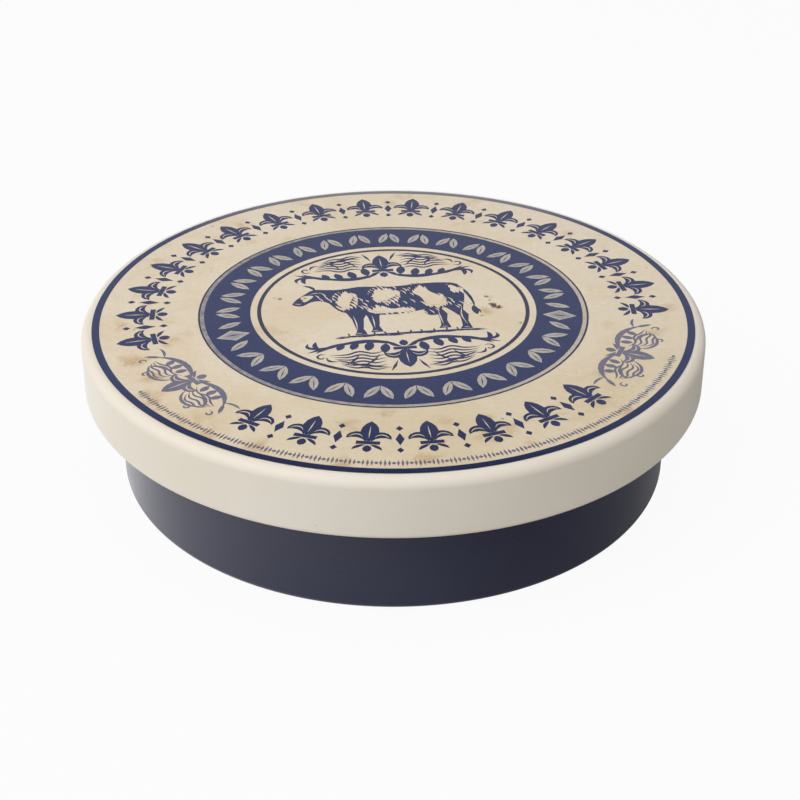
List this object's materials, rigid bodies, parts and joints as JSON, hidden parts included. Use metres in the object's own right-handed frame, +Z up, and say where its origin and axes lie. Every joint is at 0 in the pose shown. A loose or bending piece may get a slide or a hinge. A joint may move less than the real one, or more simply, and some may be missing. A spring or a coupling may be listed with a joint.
{
  "type": "camembert baker",
  "caption": "Round straight-walled stoneware baker for one small soft cheese, with a flat cap lid that rests on its rim and carries a printed ring ornament.",
  "frame": {"origin": "centre of the foot, on the surface that the dish stands on", "axes": "+Z up along the axis of the dish and lid; -Y is the front, where the print reads upright"},
  "size_m": [0.1562, 0.1562, 0.0401],
  "materials": {
    "dish_glaze": "satin dark blue-grey glaze",
    "lid_glaze": "satin cream glaze",
    "label_cream": "aged cream ground of a fired print, under glaze",
    "print_navy": "worn navy print, under glaze",
    "print_faded": "faded blue-grey print, under glaze"
  },
  "bodies": {
    "root": {"dish": "dish_glaze", "lid": "lid_glaze", "label_ground": "label_cream", "label_print": "print_navy", "label_print_faded": "print_faded"}
  },
  "joints": []
}
